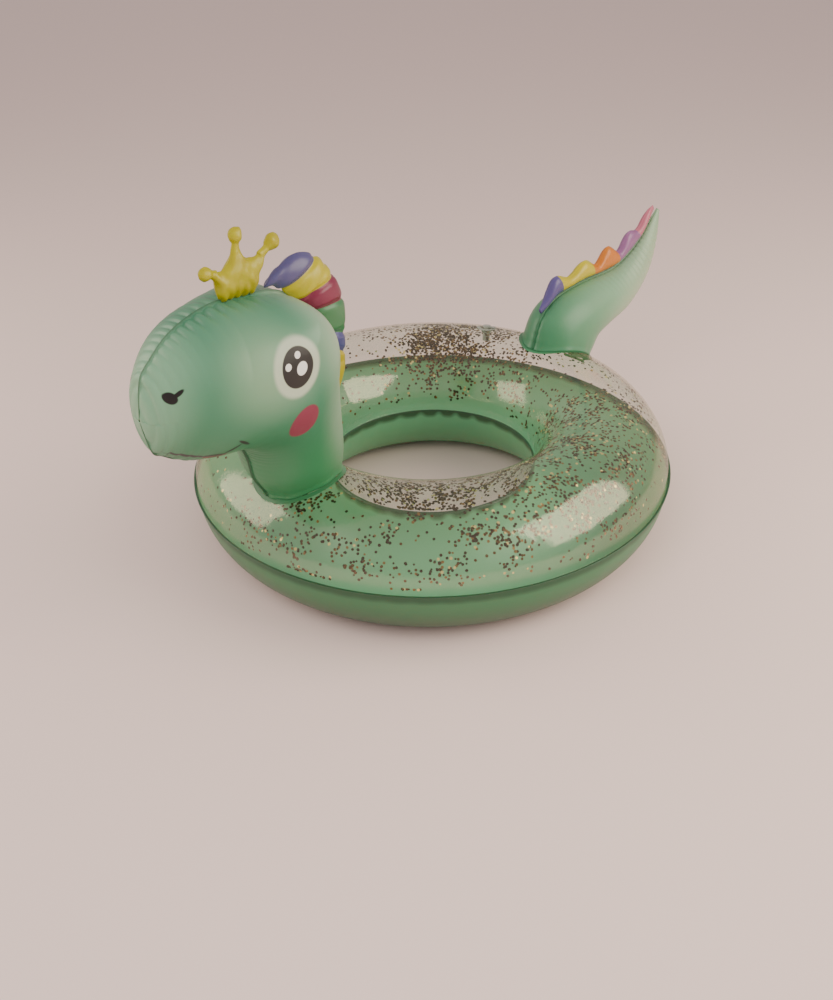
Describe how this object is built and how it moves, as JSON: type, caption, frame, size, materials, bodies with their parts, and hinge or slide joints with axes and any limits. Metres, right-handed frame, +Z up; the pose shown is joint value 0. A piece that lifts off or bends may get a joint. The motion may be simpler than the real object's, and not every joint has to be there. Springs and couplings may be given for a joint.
{
  "type": "inflatable swim ring",
  "caption": "Inflatable children's swim ring with a clear confetti-filled top, a dragon's head with crown and striped mane, and a spiked tail.",
  "frame": {"origin": "centre of the swimmer's opening, at the level the ring rests on", "axes": "+Z up, -Y the way the head looks, +Y towards the tail, +X the animal's left"},
  "size_m": [0.66, 0.9784, 0.5164],
  "materials": {
    "clear_film": "clear soft vinyl film, glossy",
    "mint_film": "printed soft vinyl film, satin gloss",
    "striped_film": "soft vinyl film printed with slate, yellow, magenta and green stripes",
    "yellow_film": "soft vinyl film printed yellow",
    "spike_film": "soft vinyl film printed lilac, yellow, orange and pink",
    "confetti": "metallised film flakes, dark bronze and gold",
    "valve_vinyl": "clear soft vinyl, slightly milky"
  },
  "bodies": {
    "float": {"ring_top_sheet": "clear_film", "ring_bottom_sheet": "mint_film", "confetti": "confetti", "head_left_panel": "mint_film", "head_right_panel": "mint_film", "tail_left_panel": "mint_film", "tail_right_panel": "mint_film", "neck_weld_band": "mint_film", "tail_weld_band": "mint_film", "mane_left_panel": "striped_film", "mane_right_panel": "striped_film", "crown_left_panel": "yellow_film", "crown_right_panel": "yellow_film", "crest_left_panel": "spike_film", "crest_right_panel": "spike_film", "ring_valve_flange": "valve_vinyl", "ring_valve_cone": "valve_vinyl", "head_valve_flange": "valve_vinyl", "head_valve_cone": "valve_vinyl", "tail_valve_flange": "valve_vinyl", "tail_valve_cone": "valve_vinyl"},
    "ring_stem": {"ring_valve_stem": "valve_vinyl"},
    "ring_plug": {"ring_valve_plug": "valve_vinyl"},
    "ring_flap": {"ring_valve_flap": "valve_vinyl"},
    "head_stem": {"head_valve_stem": "valve_vinyl"},
    "head_plug": {"head_valve_plug": "valve_vinyl"},
    "head_flap": {"head_valve_flap": "valve_vinyl"},
    "tail_stem": {"tail_valve_stem": "valve_vinyl"},
    "tail_plug": {"tail_valve_plug": "valve_vinyl"},
    "tail_flap": {"tail_valve_flap": "valve_vinyl"}
  },
  "joints": [
    {"name": "ring_valve_pop_out", "type": "slide", "parent": "float", "child": "ring_stem", "axis": [-0.0811, 0.1821, 0.9799], "range_m": [0, 0.012], "deforming": ["ring_valve_cone"]},
    {"name": "ring_plug_hinge", "type": "hinge", "parent": "ring_stem", "child": "ring_plug", "pos_m": [-0.09124, 0.2369, 0.18308], "axis": [-0.3986, 0.8952, -0.1994], "range_deg": [0, 120]},
    {"name": "ring_check_flap", "type": "hinge", "parent": "ring_stem", "child": "ring_flap", "pos_m": [-0.10562, 0.22593, 0.16256], "axis": [-0.3986, 0.8952, -0.1994], "range_deg": [0, 60], "stiffness_Nm_per_rad": 0.0005},
    {"name": "head_valve_pop_out", "type": "slide", "parent": "float", "child": "head_stem", "axis": [-0.9599, 0.0635, -0.273], "range_m": [0, 0.012], "deforming": ["head_valve_cone"]},
    {"name": "head_plug_hinge", "type": "hinge", "parent": "head_stem", "child": "head_plug", "pos_m": [-0.07504, -0.24738, 0.24669], "axis": [0.1436, 0.9479, -0.2844], "range_deg": [0, 120]},
    {"name": "head_check_flap", "type": "hinge", "parent": "head_stem", "child": "head_flap", "pos_m": [-0.05069, -0.25421, 0.23623], "axis": [0.1436, 0.9479, -0.2844], "range_deg": [0, 60], "stiffness_Nm_per_rad": 0.0005},
    {"name": "tail_valve_pop_out", "type": "slide", "parent": "float", "child": "tail_stem", "axis": [-0.9929, 0.0765, 0.0914], "range_m": [0, 0.012], "deforming": ["tail_valve_cone"]},
    {"name": "tail_plug_hinge", "type": "hinge", "parent": "tail_stem", "child": "tail_plug", "pos_m": [-0.04474, 0.32478, 0.21104], "axis": [-0.0749, 0.1956, -0.9778], "range_deg": [0, 120]},
    {"name": "tail_check_flap", "type": "hinge", "parent": "tail_stem", "child": "tail_flap", "pos_m": [-0.02557, 0.30597, 0.20581], "axis": [-0.0749, 0.1956, -0.9778], "range_deg": [0, 60], "stiffness_Nm_per_rad": 0.0005}
  ]
}
